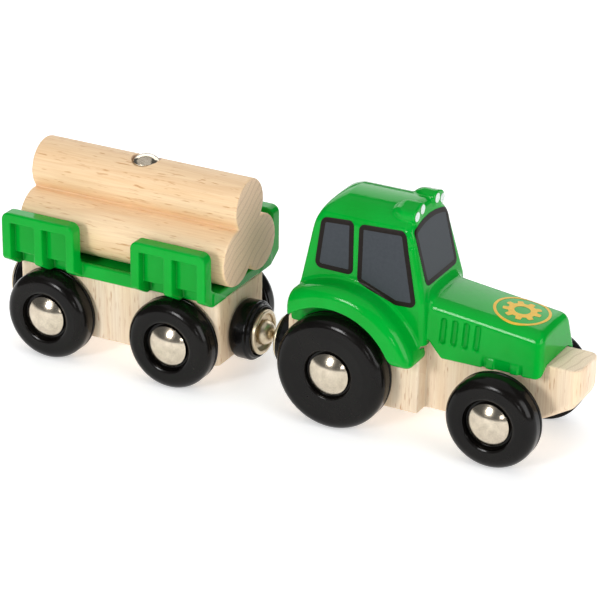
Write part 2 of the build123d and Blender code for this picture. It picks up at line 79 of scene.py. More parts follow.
REAR_AXLE_X, _, BIG_RADIUS = centre("tractor_rear_axle")
FRONT_AXLE_X, _, SMALL_RADIUS = centre("tractor_front_axle")
TRAILER_MID_X = centre("trailer_chassis")[0]
COUPLING_Z = centre("tractor_coupling_pin")[2]
LOG_MID_X = centre("log_stud")[0]
CONTACT_GAP = 0.03
CONTACT_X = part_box("tractor_coupling_pin")[0][0] / MM - CONTACT_GAP
REAR_FACE_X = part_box("trailer_rear_coupling_pin")[0][0] / MM - CONTACT_GAP
HALF_WHEELBASE = 14.9

# ------------------------------------------------------------------ camera
# Target and distance in millimetres, angles in degrees
TARGET = (2.825, 0.0, 19.64)
AZIMUTH, ELEVATION, ROLL = 27.63, 24.60, 0.724
DISTANCE = 594.8
LENS = 172.6
SENSOR_WIDTH = 36


def make_camera():
    """A long lens from the front right, a little above, turned by a slight roll."""
    azimuth, elevation, roll = (math.radians(a) for a in (AZIMUTH, ELEVATION, ROLL))
    back = Vector((
        math.sin(azimuth) * math.cos(elevation),
        -math.cos(azimuth) * math.cos(elevation),
        math.sin(elevation),
    ))
    right = Vector((0, 0, 1)).cross(back).normalized()
    up = back.cross(right)
    rolled_right = math.cos(roll) * right + math.sin(roll) * up
    rolled_up = math.cos(roll) * up - math.sin(roll) * right
    data = bpy.data.cameras.new("camera")
    data.lens = LENS
    data.sensor_width = SENSOR_WIDTH
    data.clip_start = 0.01
    data.clip_end = 20
    camera = bpy.data.objects.new("camera", data)
    turn = Matrix((rolled_right, rolled_up, back)).transposed()
    place = (Vector(TARGET) + back * DISTANCE) * MM
    camera.matrix_world = Matrix.Translation(place) @ turn.to_4x4()
    bpy.context.scene.collection.objects.link(camera)
    bpy.context.scene.camera = camera


make_camera()


# ------------------------------------------------------------------ distance fields
def plane(u, v, start, end):
    """Signed distance to the line from start to end in the u, v plane, positive on its left."""
    du, dv = end[0] - start[0], end[1] - start[1]
    length = math.hypot(du, dv)
    return ((v - start[1]) * du - (u - start[0]) * dv) / length


def meet(a, b, radius):
    """Intersection of two distances, with the edge rounded to a radius."""
    corner = np.hypot(np.maximum(a + radius, 0), np.maximum(b + radius, 0))
    return np.minimum(-radius, np.maximum(a, b)) + corner


def join(a, b, radius):
    """Union of two distances, with a fillet of a radius where they meet."""
    corner = np.hypot(np.maximum(radius - a, 0), np.maximum(radius - b, 0))
    return np.maximum(radius, np.minimum(a, b)) - corner


def cut(a, b, radius):
    """Distance a with distance b taken out of it."""
    return meet(a, -b, radius)


def slab(u, low, high):
    """Distance to the space between two parallel planes."""
    return np.abs(u - (low + high) / 2) - (high - low) / 2


def block(x, y, z, box, radius):
    """A box (x0, x1, y0, y1, z0, z1) with rounded edges."""
    outside = [
        np.maximum(slab(u, box[2 * i], box[2 * i + 1]) + radius, 0) for i, u in enumerate((x, y, z))
    ]
    inside = np.maximum(
        np.maximum(slab(x, box[0], box[1]), slab(y, box[2], box[3])), slab(z, box[4], box[5])
    )
    length = np.sqrt(outside[0] ** 2 + outside[1] ** 2 + outside[2] ** 2)
    return np.minimum(inside + radius, 0) + length - radius


EDGE_STEPS = ((1, 0, 0), (0, 1, 0), (0, 0, 1))
# Two neighbouring faces become one when the angle between them, in degrees, is below this
FLAT_ANGLE = 0.12


def contour(field, low, high, step):
    """Points and quads of a field's zero surface inside a box, by surface nets."""
    axes = [np.arange(a - 2 * step, b + 2 * step, step) for a, b in zip(low, high)]
    grids = np.meshgrid(*axes, indexing="ij", sparse=True)
    values = field(*grids)
    values = np.broadcast_to(values, [len(a) for a in axes])
    inside = values < 0
    count = np.zeros([n - 1 for n in inside.shape], dtype=np.int8)
    corners = [(i, j, k) for i in (0, 1) for j in (0, 1) for k in (0, 1)]
    for i, j, k in corners:
        count += inside[i : i + count.shape[0], j : j + count.shape[1], k : k + count.shape[2]]
    cells = np.argwhere((count > 0) & (count < 8))
    number = np.full(count.shape, -1, dtype=np.int64)
    number[tuple(cells.T)] = np.arange(len(cells))

    total = np.zeros((len(cells), 3))
    crossings = np.zeros(len(cells))
    for corner in corners:
        for direction in EDGE_STEPS:
            other = np.add(corner, direction)
            if other.max() > 1:
                continue
            a = values[tuple((cells + corner).T)]
            b = values[tuple((cells + other).T)]
            crossed = (a < 0) != (b < 0)
            part = np.where(crossed, a / np.where(crossed, a - b, 1), 0)
            total += crossed[:, None] * (np.array(corner) + part[:, None] * direction)
            crossings += crossed
    origin = np.array([a[0] for a in axes])
    points = origin + step * (cells + total / crossings[:, None])

    quads = []
    for axis, direction in enumerate(EDGE_STEPS):
        first = inside[tuple(slice(0, n - s) for n, s in zip(inside.shape, direction))]
        second = inside[tuple(slice(s, None) for s in direction)]
        edges = np.argwhere(first != second)
        side_a, side_b = [d for i, d in enumerate(EDGE_STEPS) if i != axis]
        if axis == 1:
            side_a, side_b = side_b, side_a
        loop = [edges - side_a - side_b, edges - side_b, edges, edges - side_a]
        quad = np.stack([number[tuple(c.T)] for c in loop], axis=1)
        leaving = first[tuple(edges.T)]
        quad[~leaving] = quad[~leaving][:, ::-1]
        quads.append(quad)
    quads = np.concatenate(quads)
    return points, quads[(quads >= 0).all(axis=1)]


def slope(field, points):
    """The field's gradient at points."""
    reach = 0.01
    columns = []
    for direction in EDGE_STEPS:
        shift = reach * np.array(direction)
        ahead = field(*(points + shift).T)
        behind = field(*(points - shift).T)
        columns.append((ahead - behind) / (2 * reach))
    return np.stack(columns, axis=1)


def sculpt(name, field, low, high, step):
    """A closed mesh of a field's surface, with true normals and its flat faces merged.

    low and high are the corners of the region, and step is the pitch of the sampling grid.
    """
    points, quads = contour(field, low, high, step)
    for _ in range(3):
        gradient = slope(field, points)
        steepness = np.maximum((gradient**2).sum(axis=1), 0.1)
        move = gradient * (field(*points.T) / steepness)[:, None]
        reach = np.maximum(np.linalg.norm(move, axis=1) / (0.5 * step), 1)
        points = points - move / reach[:, None]
    mesh = bpy.data.meshes.new(name)
    mesh.from_pydata((points * MM).tolist(), [], quads.tolist())
    builder = bmesh.new()
    builder.from_mesh(mesh)
    bmesh.ops.dissolve_limit(
        builder,
        angle_limit=math.radians(FLAT_ANGLE),
        verts=builder.verts,
        edges=builder.edges,
    )
    builder.to_mesh(mesh)
    builder.free()
    mesh.validate()
    mesh.polygons.foreach_set("use_smooth", [True] * len(mesh.polygons))
    kept = np.empty(len(mesh.vertices) * 3)
    mesh.vertices.foreach_get("co", kept)
    normals = slope(field, kept.reshape(-1, 3) / MM)
    normals /= np.maximum(np.linalg.norm(normals, axis=1), 1e-6)[:, None]
    mesh.normals_split_custom_set_from_vertices(normals.tolist())
    return add_piece(name, mesh)


def add_piece(name, mesh):
    """Link a mesh into the scene as an object at the origin."""
    piece = bpy.data.objects.new(name, mesh)
    bpy.context.scene.collection.objects.link(piece)
    return piece


def stand_in(piece, body, slot, *nodes):
    """Ride a piece on a body, name its finish, and hide the CAD nodes that it stands for."""
    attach(piece, body)
    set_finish(piece, slot)
    if nodes:
        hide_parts(*nodes)


# ------------------------------------------------------------------ tractor body
# In the fields of the tractor's body, x is counted from the rear axle.
WALL = 1.6
BLOCK_TOP = 20.5
HOOD_BOTTOM = 18.6

CAB_HALF, CAB_WAIST_Z = 9.8, 29.0
EAVES_HALF, EAVES_Z = 8.4, 43.6
ROOF_Z, ROOF_RADIUS = 48.2, 10.0
CAB_REAR_X = -9.6
REAR_WAIST, REAR_RIDGE = (-9.5, 28.2), (-5.9, ROOF_Z)
SCREEN_FOOT, SCREEN_TOP = (18.35, 29.7), (13.6, ROOF_Z)
CAB_FRONT_FOOT = (18.8, BLOCK_TOP)

HOOD_REAR_X, HOOD_LENGTH = 17.2, 26.4
HOOD_CREST_Z, HOOD_DROP, HOOD_CROWN = 30.1, 3.0, 0.55
HOOD_FRONT_TOP, HOOD_FRONT_FOOT = (42.85, 27.0), (43.6, HOOD_BOTTOM)
HOOD_SHOULDER, HOOD_FRONT_EDGE = 1.9, 1.6

FENDER_CENTRE, FENDER_RADIUS = (0.37, 0.39), 18.66
FENDER_INNER_RADIUS = 14.55
FENDER_HALF, FENDER_ROOT_Y = 15.6, 7.0
FENDER_REAR_X, FENDER_TIP_Z = -9.5, 16.9
WHEEL_ROOM_RADIUS = 13.9

POD_Y, POD_Z, POD_TILT = 4.55, 46.8, math.radians(19)
POD_FRONT_X, POD_TAIL_X, POD_TAPER = 14.5, 8.9, (11.6, 3.0)
POD_HALF_WIDTH, POD_HALF_HEIGHT = 2.6, 1.6

LOUVRE_X, LOUVRE_Z, LOUVRE_PITCH, LOUVRE_COUNT = 21.9, 24.2, 2.45, 4
LOUVRE_HALF_HEIGHT, LOUVRE_RADIUS, LOUVRE_LIFT = 1.95, 0.62, 0.15
RIB_RECESS = (30.9, 39.5, 8.45, 11.0, 16.0, 20.9)
RIBS_X, RIB_HALF = (32.6, 37.8), 0.9
TAIL_STEP = (-11.5, -8.5, -CAB_HALF, CAB_HALF, 19.8, 25.0)
BLOCK_ROOM_END, BLOCK_ROOM_HALF = 17.4, 9.2
NOSE_ROOM_START = 41.4


def ramp(value, start, end):
    """0 before start, 1 after end, and straight in between."""
    return np.clip((value - start) / (end - start), 0, 1)


def cab_field(x, y, z):
    """The cab without its floor. x is counted from the rear axle."""
    y = np.abs(y)
    side = meet(y - CAB_HALF, plane(y, z, (EAVES_HALF, EAVES_Z), (CAB_HALF, CAB_WAIST_Z)), 0.1)
    spring = z - (ROOF_Z - ROOF_RADIUS)
    roof = np.hypot(y, np.maximum(spring, 0)) - ROOF_RADIUS + np.minimum(spring - 2.5, 0)
    rear = meet(-x + CAB_REAR_X, plane(x, z, REAR_WAIST, REAR_RIDGE), 0.3)
    windscreen = plane(x, z, SCREEN_TOP, SCREEN_FOOT)
    front = meet(windscreen, plane(x, z, SCREEN_FOOT, CAB_FRONT_FOOT), 0.3)
    edge = 0.6 + 0.8 * ramp(x, 9, 14) * ramp(z, 44, 41)
    profile = meet(meet(z - 49.0, rear, 7.0), meet(z - 48.3, front, 1.6), 0.05)
    return meet(meet(profile, roof, 1.6), side, edge)


def hood_side(x, z):
    """Half width of the hood at a place along it and a height."""
    along = (x - HOOD_REAR_X) / HOOD_LENGTH
    top_half = 7.3 - 0.5 * along
    bottom_half = 9.2 - 0.3 * along
    lean = (bottom_half - top_half) / (11.5 - 3.0 * along)
    return bottom_half - lean * (z - HOOD_BOTTOM)


def hood_field(x, y, z):
    """The hood without its floor."""
    y = np.abs(y)
    side = (y - hood_side(x, z)) / 1.016
    drop = HOOD_DROP * (x - HOOD_REAR_X) / HOOD_LENGTH
    crown = HOOD_CREST_Z - drop + HOOD_CROWN * (1 - (np.minimum(y, 8) / 7.2) ** 2)
    top = (z - crown) / 1.007
    front = plane(x, z, HOOD_FRONT_TOP, HOOD_FRONT_FOOT)
    solid = meet(meet(side, top, HOOD_SHOULDER), front, HOOD_FRONT_EDGE)
    return meet(solid, 12.0 - x, 0.3)


def fender_field(x, y, z):
    """Both rear fenders: bands round the wheels, with a soft outer edge and a thumb-shaped tip."""
    y = np.abs(y)
    up = z - BIG_RADIUS
    outer = np.hypot(x - FENDER_CENTRE[0], up - FENDER_CENTRE[1]) - FENDER_RADIUS
    ring = meet(meet(outer, FENDER_TIP_Z - z, 1.9), y - FENDER_HALF, 2.7)
    ring = meet(ring, FENDER_INNER_RADIUS - np.hypot(x, up), 0.5)
    ring = meet(ring, FENDER_REAR_X - x, 0.9)
    return meet(ring, FENDER_ROOT_Y - y, 0.1)


def pod_field(x, y, z):
    """The two lamp pods on the roof, with pointed tails."""
    y = np.abs(y)
    across = (y - POD_Y) * math.cos(POD_TILT) - (z - POD_Z) * math.sin(POD_TILT)
    height = (y - POD_Y) * math.sin(POD_TILT) + (z - POD_Z) * math.cos(POD_TILT)
    taper = np.clip((POD_TAPER[0] - x) / POD_TAPER[1], 0, 1)
    half_height = POD_HALF_HEIGHT * np.sqrt(np.maximum(1 - 0.8 * taper**2, 0.04))
    half_width = POD_HALF_WIDTH - 1.6 * taper**1.6
    sunk = height + 0.9 * taper**2
    flat = np.maximum(np.abs(across) - (half_width - half_height), 0)
    slot = np.hypot(flat, sunk) - half_height
    return meet(meet(slot * 0.8, x - POD_FRONT_X, 0.45), POD_TAIL_X - x, 0.3)


def louvre_field(x, y, z):
    """Four short upright grooves in each side of the hood."""
    y = np.abs(y)
    number = np.clip(np.round((x - LOUVRE_X) / LOUVRE_PITCH), 0, LOUVRE_COUNT - 1)
    along = x - (number * LOUVRE_PITCH + LOUVRE_X)
    up = np.maximum(np.abs(z - LOUVRE_Z) - LOUVRE_HALF_HEIGHT, 0)
    out = y - hood_side(x, z) + LOUVRE_LIFT
    return np.sqrt(along**2 + up**2 + out**2) - LOUVRE_RADIUS


def rib_field(x, y, z):
    """The shallow recess over each front wheel, with two ribs left standing in it."""
    y = np.abs(y)
    recess = block(x, y, z, RIB_RECESS, 0.25)
    for rib_x in RIBS_X:
        rib = block(x, y, z, (rib_x - RIB_HALF, rib_x + RIB_HALF, 7.0, 11.5, 14.0, 20.75), 0.3)
        recess = cut(recess, rib, 0.2)
    return recess


def body_field(x, y, z):
    """The whole green moulding, with a step over the block's tail, hollow and open underneath."""
    x = x - REAR_AXLE_X
    cab = cab_field(x, y, z)
    hood = hood_field(x, y, z)
    wide = np.abs(y)
    cab_floor = meet(cab, BLOCK_TOP - z, 0.3)
    chamfer = plane(x, z, (22.1, 18.6), (18.1, 22.6))
    hood_floor = meet(meet(hood, HOOD_BOTTOM - z, 0.35), chamfer, 0.35)
    shell = join(cab_floor, hood_floor, 0.35 + 1.3 * ramp(z, 27.5, 29.5))
    shell = join(shell, fender_field(x, y, z), 0.8)
    shell = join(shell, pod_field(x, y, z), 0.35)
    shell = join(shell, block(x, y, z, TAIL_STEP, 0.7), 0.4)
    wheel_room = meet(np.hypot(x, z - BIG_RADIUS) - WHEEL_ROOM_RADIUS, CAB_HALF - wide, 0.3)
    block_space = (-30.0, BLOCK_ROOM_END, -20.0, BLOCK_ROOM_HALF, 0.0, BLOCK_TOP)
    block_room = block(x, wide, z, block_space, 0.1)
    hollow = np.minimum(cab, hood) + WALL
    hollow = meet(hollow, HOOD_BOTTOM - 4 - z, 0.2)
    slant = -plane(wide, z, (8.8, 18.5), (5.3, BLOCK_TOP))
    nose_room = meet(meet(slant, z - BLOCK_TOP, 0.1), NOSE_ROOM_START - x, 0.1)
    for room, radius in ((wheel_room, 0.4), (block_room, 0.2), (hollow, 0.3), (nose_room, 0.2)):
        shell = cut(shell, room, radius)
    shell = cut(shell, louvre_field(x, y, z), 0.25)
    return cut(shell, rib_field(x, y, z), 0.25)


body = sculpt(
    "tractor_body_moulding",
    body_field,
    (REAR_AXLE_X - 12.0, -15.8, 16.7),
    (REAR_AXLE_X + 44.5, 15.8, 48.8),
    0.3,
)
stand_in(body, "tractor", "green_plastic", "tractor_body")

# ------------------------------------------------------------------ beech blocks
BLOCK_BOTTOM = 4.9
NOSE_X, NOSE_HALF = 50.2, 5.3
SWEEP_CENTRE, SWEEP_RADIUS = (24.8, 51.1), 46.2
CHASSIS_BACK = (-12.4, 17.3, -9.0, 9.0, BLOCK_BOTTOM, BLOCK_TOP)
TRAILER_BLOCK_HALF = 9.8
PIN_RADIUS = 1.1
PIN_IN_BLOCK = 5.15


def chassis_field(x, y, z):
    """The tractor's beech block: wide under the cab, narrow in front, swept up to the nose."""
    x = x - REAR_AXLE_X
    wide = np.abs(y)
    sweep = np.hypot(x - SWEEP_CENTRE[0], z - SWEEP_CENTRE[1]) - SWEEP_RADIUS
    under = np.where(x > SWEEP_CENTRE[0], sweep, BLOCK_BOTTOM - z)
    nose = meet(x - NOSE_X, under, 2.0)
    flank = meet(nose, wide - NOSE_HALF, 0.5 + 1.4 * ramp(x, 43, 47))
    front = meet(flank, z - BLOCK_TOP, 0.35)
    front = meet(front, 10.0 - x, 0.1)
    solid = join(front, block(x, y, z, CHASSIS_BACK, 0.45), 0.25)
    pin_room = np.hypot(y, z - COUPLING_Z) - PIN_RADIUS
    return cut(solid, meet(pin_room, x - (CHASSIS_BACK[0] + PIN_IN_BLOCK), 0.05), 0.15)


def trailer_block_field(x, y, z):
    """The trailer's beech block."""
    x = x - TRAILER_MID_X
    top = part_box("trailer_chassis")[1][2] / MM
    half = (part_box("trailer_chassis")[1][0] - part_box("trailer_chassis")[0][0]) / 2 / MM
    upright = meet(np.abs(x) - half, np.abs(y) - TRAILER_BLOCK_HALF, 1.1)
    solid = meet(upright, slab(z, BLOCK_BOTTOM, top), 0.5)
    bore = np.hypot(y, z - COUPLING_Z) - PIN_RADIUS
    pin_room = meet(bore, half - PIN_IN_BLOCK - np.abs(x), 0.05)
    return cut(solid, pin_room, 0.15)


def box_of(node):
    """A CAD node's box in millimetres."""
    low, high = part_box(node)
    return [v / MM for v in low], [v / MM for v in high]


tractor_block = sculpt("tractor_beech_block", chassis_field, *box_of("tractor_chassis"), 0.4)
stand_in(tractor_block, "tractor", "beech", "tractor_chassis")
trailer_block = sculpt("trailer_beech_block", trailer_block_field, *box_of("trailer_chassis"), 0.4)
stand_in(trailer_block, "trailer", "beech", "trailer_chassis")

# ------------------------------------------------------------------ trailer bed
BED_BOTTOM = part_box("trailer_bed")[0][2] / MM
BED_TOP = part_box("trailer_bed")[1][2] / MM
BED_HALF = (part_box("trailer_bed")[1][0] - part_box("trailer_bed")[0][0]) / 2 / MM
FLOOR_TOP = BED_BOTTOM + 2.3
LIP_TOP = 23.0
TRAY_HALF = 12.7
PANEL_LENGTH = 17.7
PANEL_OUTER_Y, PANEL_INNER_Y, INFILL_Y = 16.2, 13.1, 14.1
POST_WIDTH = 2.1
RAIL_HEIGHT = 2.3
BAY_HALF = (PANEL_LENGTH - 3 * POST_WIDTH) / 4
BAY_MIDDLE = BAY_HALF + POST_WIDTH / 2


def panel_field(along, y, z):
    """One stake panel. along is counted from its middle, y outwards from the bed's centre."""
    along = np.abs(along)
    foot = plane(y, z, (PANEL_OUTER_Y, BED_BOTTOM + 2.2), (TRAY_HALF, BED_BOTTOM))
    flare = plane(y, z, (PANEL_INNER_Y, BED_BOTTOM + 4.1), (10.3, FLOOR_TOP))
    inner = join(PANEL_INNER_Y - y, -flare, 0.6)
    posts = meet(meet(meet(y - PANEL_OUTER_Y, foot, 0.6), inner, 0.35), BED_BOTTOM - z, 0.4)
    bay = meet(np.abs(along - BAY_MIDDLE) - BAY_HALF, z - (BED_TOP - RAIL_HEIGHT), 0.25)
    posts = cut(posts, bay, 0.5)
    skin = meet(meet(y - INFILL_Y, LIP_TOP - z, 0.3), inner, 0.3)
    lower = meet(meet(y - 11.5, BED_BOTTOM - z, 0.3), meet(-flare, z - 24.5, 0.3), 0.3)
    panel = join(posts, np.minimum(skin, lower), 0.12)
    return meet(panel, meet(along - PANEL_LENGTH / 2, z - BED_TOP, 1.8), 0.45)


def bed_field(x, y, z):
    """The green cradle: a shallow tray with a low lip and four stake panels."""
    x = x - TRAILER_MID_X
    wide = np.abs(y)
    lip_inner = plane(wide, z, (11.4, LIP_TOP), (10.4, FLOOR_TOP))
    outer = meet(wide - TRAY_HALF, BED_BOTTOM - z, 0.5)
    tray = meet(meet(outer, z - LIP_TOP, 0.35), np.abs(x) - BED_HALF, 0.45)
    trough = meet(FLOOR_TOP - z, lip_inner, 0.5)
    tray = cut(tray, trough, 0.35)
    along = np.abs(x) - (BED_HALF - PANEL_LENGTH / 2)
    bay_side = np.abs(np.abs(along) - BAY_MIDDLE) - BAY_HALF
    bay = meet(bay_side, slab(z, BED_BOTTOM - 2, LIP_TOP - 0.6), 0.3)
    tray = cut(tray, meet(bay, 11.1 - wide, 0.3), 0.25)
    return join(tray, panel_field(along, wide, z), 0.35)


bed = sculpt("trailer_bed_moulding", bed_field, *box_of("trailer_bed"), 0.27)
stand_in(bed, "trailer", "green_plastic", "trailer_bed")

# ------------------------------------------------------------------ logs
LOG_LOW, LOG_HIGH = box_of("log_bundle")
LOW_LOG_RADIUS, TOP_LOG_RADIUS, LOW_LOG_Y = 6.1, 5.85, 5.0
LOW_LOG_Z = LOG_LOW[2] + LOW_LOG_RADIUS
TOP_LOG_Z = LOG_HIGH[2] - TOP_LOG_RADIUS
STUD_SHANK, STUD_RADIUS, STUD_HEIGHT = 8.0, 2.9, 1.75
STUD_SEAT_RADIUS = 3.02
STUD_SEAT_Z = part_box("log_stud")[0][2] / MM + STUD_SHANK


def log_field(x, y, z):
    """Three logs cut from one beech profile, with eased ends and a seat for the stud."""
    wide = np.abs(y)
    low_log = np.hypot(wide - LOW_LOG_Y, z - LOW_LOG_Z) - LOW_LOG_RADIUS
    top_log = np.hypot(y, z - TOP_LOG_Z) - TOP_LOG_RADIUS
    core = meet(plane(wide, z, (0, TOP_LOG_Z), (LOW_LOG_Y, LOW_LOG_Z)), LOW_LOG_Z - z, 0.1)
    profile = join(join(low_log, top_log, 0.35), core, 0.1)
    ends = slab(x, LOG_LOW[0], LOG_HIGH[0])
    solid = meet(profile, ends, 0.45)
    seat = meet(np.hypot(x - LOG_MID_X, y) - STUD_SEAT_RADIUS, STUD_SEAT_Z - z, 0.2)
    return cut(solid, seat, 0.2)


logs = sculpt("beech_logs", log_field, LOG_LOW, LOG_HIGH, 0.35)
stand_in(logs, "load", "log_beech", "log_bundle")

# ------------------------------------------------------------------ turned and moulded round parts
def ease(corners):
    """Points and outward normals along a closed outline of (u, v, rounding) corners."""
    spots = np.array([corner[:2] for corner in corners], float)
    following = np.roll(spots, -1, axis=0)
    turn = np.sign(np.sum(spots[:, 0] * following[:, 1] - spots[:, 1] * following[:, 0]))
    points, normals = [], []
    for i, (u, v, radius) in enumerate(corners):
        arriving = spots[i] - spots[i - 1]
        arriving /= np.linalg.norm(arriving)
        leaving = following[i] - spots[i]
        leaving /= np.linalg.norm(leaving)
        normal_in = turn * np.array((arriving[1], -arriving[0]))
        normal_out = turn * np.array((leaving[1], -leaving[0]))
        if radius == 0:
            normal = normal_in + normal_out
            points.append(spots[i])
            normals.append(normal / max(np.linalg.norm(normal), 1e-6))
            continue
        angle = math.acos(np.clip(arriving @ leaving, -1, 1))
        bulge = np.sign(turn * (arriving[0] * leaving[1] - arriving[1] * leaving[0]))
        start = spots[i] - arriving * radius * math.tan(angle / 2)
        middle = start - bulge * radius * normal_in
        steps = max(2, math.ceil(angle / math.radians(13)))
        for k in range(steps + 1):
            swing = k / steps * angle
            weighted = math.sin(angle - swing) * normal_in + math.sin(swing) * normal_out
            normal = weighted / math.sin(angle)
            points.append(middle + bulge * radius * normal)
            normals.append(normal)
    return np.array(points), np.array(normals)


def dome(base_radius, base, top, steps=14):
    """Corners along a domed end, from its rim to just short of its middle."""
    height = top - base
    sphere = (base_radius**2 + height**2) / (2 * abs(height))
    spread = math.asin(base_radius / sphere)
    corners = []
    for k in range(1, steps):
        angle = spread * (1 - k / steps)
        rise = sphere * math.cos(angle) - sphere + abs(height)
        corners.append((sphere * math.sin(angle), base + math.copysign(rise, height), 0))
    return corners


def turn_round(name, corners, origin, axis, segments=144):
    """A closed mesh of a (radius, distance) outline turned round an axis."""
    outline, slopes = ease(corners)
    axis = np.array(axis, float)
    first = np.array((0, 0, 1.0)) if abs(axis[2]) < 0.5 else np.array((1.0, 0, 0))
    second = np.cross(axis, first)
    angles = np.linspace(0, 2 * math.pi, segments, endpoint=False)
    spokes = np.outer(np.cos(angles), first) + np.outer(np.sin(angles), second)
    points, normals, rings = [], [], []
    for (u, v), (slope_u, slope_v) in zip(outline, slopes):
        at = len(points)
        if u < 1e-6:
            points.append(origin + v * axis)
            normals.append(axis * np.sign(slope_v))
            rings.append([at] * segments)
            continue
        points.extend(origin + v * axis + u * spokes)
        normals.extend(slope_v * axis + slope_u * spokes)
        rings.append(list(range(at, at + segments)))
    faces = []
    for a, b in zip(rings, rings[1:] + rings[:1]):
        if a[0] == a[1] and b[0] == b[1]:
            continue
        for k in range(segments):
            j = (k + 1) % segments
            face = [a[k], a[j], b[j], b[k]]
            faces.append(list(dict.fromkeys(face)))
    return mesh_piece(name, np.array(points), faces, np.array(normals))


def mesh_piece(name, points, faces, normals):
    """A mesh from millimetre points, its faces turned outwards and its shading normals set."""
    mesh = bpy.data.meshes.new(name)
    mesh.from_pydata((points * MM).tolist(), [], faces)
    builder = bmesh.new()
    builder.from_mesh(mesh)
    bmesh.ops.recalc_face_normals(builder, faces=builder.faces)
    builder.to_mesh(mesh)
    builder.free()
    mesh.polygons.foreach_set("use_smooth", [True] * len(mesh.polygons))
    mesh.normals_split_custom_set_from_vertices(normals.tolist())
    return add_piece(name, mesh)


def wheel_corners(radius, boss_y):
    """Outline of a wheel: domed shoulder, dished face, hub recess, rear rim and inner boss."""
    bore, boss, back, recess, hub_floor = 1.30, 3.0, 10.5, 10.9, 14.25
    groove = radius - 0.35
    return [
        (bore, hub_floor, 0.1), (bore, boss_y, 0.12), (boss, boss_y, 0.25), (boss, back, 0.3),
        (radius - 3.1, back, 0.4), (radius - 2.8, recess, 0.3), (radius - 1.2, recess, 0.3),
        (radius - 0.9, back, 0.2), (radius, back, 0.3), (radius, 11.3, 0.22),
        (groove, 11.35, 0.12), (groove, 11.6, 0.12), (radius, 11.65, 0.22),
        (radius, 15.72, 2.5), (radius - 4.1, 15.66, 1.5), (5.3, 15.3, 0.42), (5.05, hub_floor, 0.2),
    ]


CAP_RADIUS, CAP_RIM_Y, CAP_TOP_Y, AXLE_END_Y = 4.5, 14.97, 16.45, 15.3


def hubcap_corners():
    """Outline of a pressed hubcap, domed outside and hollow over the axle's end."""
    socket = [(0, AXLE_END_Y, 0), (1.25, AXLE_END_Y, 0.05), (1.25, 14.7, 0.1)]
    rim = [(4.42, 14.7, 0.1), (CAP_RADIUS, CAP_RIM_Y, 0.08)]
    return socket + rim + dome(CAP_RADIUS, CAP_RIM_Y, CAP_TOP_Y) + [(0, CAP_TOP_Y, 0)]


def add_running_gear(station, x, radius, boss_y, body):
    """Wheels and hubcaps of one axle, in place of their CAD nodes."""
    for side, hand in ((-1, "right"), (1, "left")):
        hub = np.array((x, 0, radius))
        wheel = turn_round(
            f"{station}_wheel_{hand}_moulding", wheel_corners(radius, boss_y), hub, (0, side, 0)
        )
        stand_in(wheel, f"{station}_wheel_{hand}", "wheel_black", f"{station}_wheel_{hand}")
        cap = turn_round(f"{station}_hubcap_{hand}_dome", hubcap_corners(), hub, (0, side, 0), 96)
        stand_in(cap, body, "nickel", f"{station}_hubcaps")


add_running_gear("tractor_rear", REAR_AXLE_X, BIG_RADIUS, 9.3, "tractor")
add_running_gear("tractor_front", FRONT_AXLE_X, SMALL_RADIUS, 5.6, "tractor")
add_running_gear("trailer_front", TRAILER_MID_X + HALF_WHEELBASE, SMALL_RADIUS, 10.1, "trailer")
add_running_gear("trailer_rear", TRAILER_MID_X - HALF_WHEELBASE, SMALL_RADIUS, 10.1, "trailer")


# Each coupling's outline gives the radius and the distance back from the contact plane
BARREL_BACK, BARREL_LIP, CUP_FLOOR = 7.9, 2.95, 5.1
BARREL_RADIUS, CUP_RADIUS = 6.4, 5.15
RING_FRONT, RING_BACK, RING_RADIUS, RING_BORE = 2.1, 4.15, 4.85, 1.75
BALL_RADIUS, BALL_MIDDLE, BALL_NECK = 2.72, 2.7, 3.05
PIN_END = 13.0


def barrel_corners():
    """Outline of the black holder: a cup with a stepped lip."""
    return [
        (BARREL_RADIUS, BARREL_BACK, 1.25), (BARREL_RADIUS, 3.9, 0.5), (5.85, 3.65, 0.12),
        (5.7, BARREL_LIP, 0.4), (CUP_RADIUS, BARREL_LIP, 0.2), (CUP_RADIUS, CUP_FLOOR, 0.3),
        (PIN_RADIUS, CUP_FLOOR, 0.05), (PIN_RADIUS, BARREL_BACK, 0.05),
    ]


def ring_corners():
    """Outline of the ring magnet, with a bowl in its face round the ball head."""
    bowl = [(4.05, RING_FRONT, 0.25), (3.9, 2.77, 0.5), (3.48, 3.2, 0.5), (2.9, 3.35, 0.3)]
    back = [(RING_BORE, RING_BACK, 0.05), (RING_RADIUS, RING_BACK, 0.2)]
    return back + [(RING_RADIUS, RING_FRONT, 0.3)] + bowl + [(RING_BORE, 3.45, 0.1)]


def rivet_corners():
    """Outline of the rivet: a shank and a ball head."""
    shank = [(0, PIN_END, 0), (PIN_RADIUS, PIN_END, 0.1), (PIN_RADIUS, BALL_NECK, 0.05)]
    ball = dome(BALL_RADIUS, BALL_MIDDLE, CONTACT_GAP, 24)
    return shank + [(2.7, 2.78, 0.08)] + ball + [(0, CONTACT_GAP, 0)]


def add_coupling(station, face_x, way, body, magnet_body):
    """Barrel, dished ring magnet and rivet of one coupling. way is +1 when it faces +X."""
    place = (np.array((face_x, 0, COUPLING_Z)), (-way, 0, 0))
    barrel = turn_round(f"{station}_coupling_holder", barrel_corners(), *place)
    stand_in(barrel, body, "coupling_black", f"{station}_coupling_barrel")
    magnet = turn_round(f"{station}_coupling_ring", ring_corners(), *place)
    stand_in(magnet, magnet_body, "magnet_nickel", f"{station}_coupling_magnet")
    pin = turn_round(f"{station}_coupling_rivet", rivet_corners(), *place, 96)
    stand_in(pin, body, "magnet_nickel", f"{station}_coupling_pin")


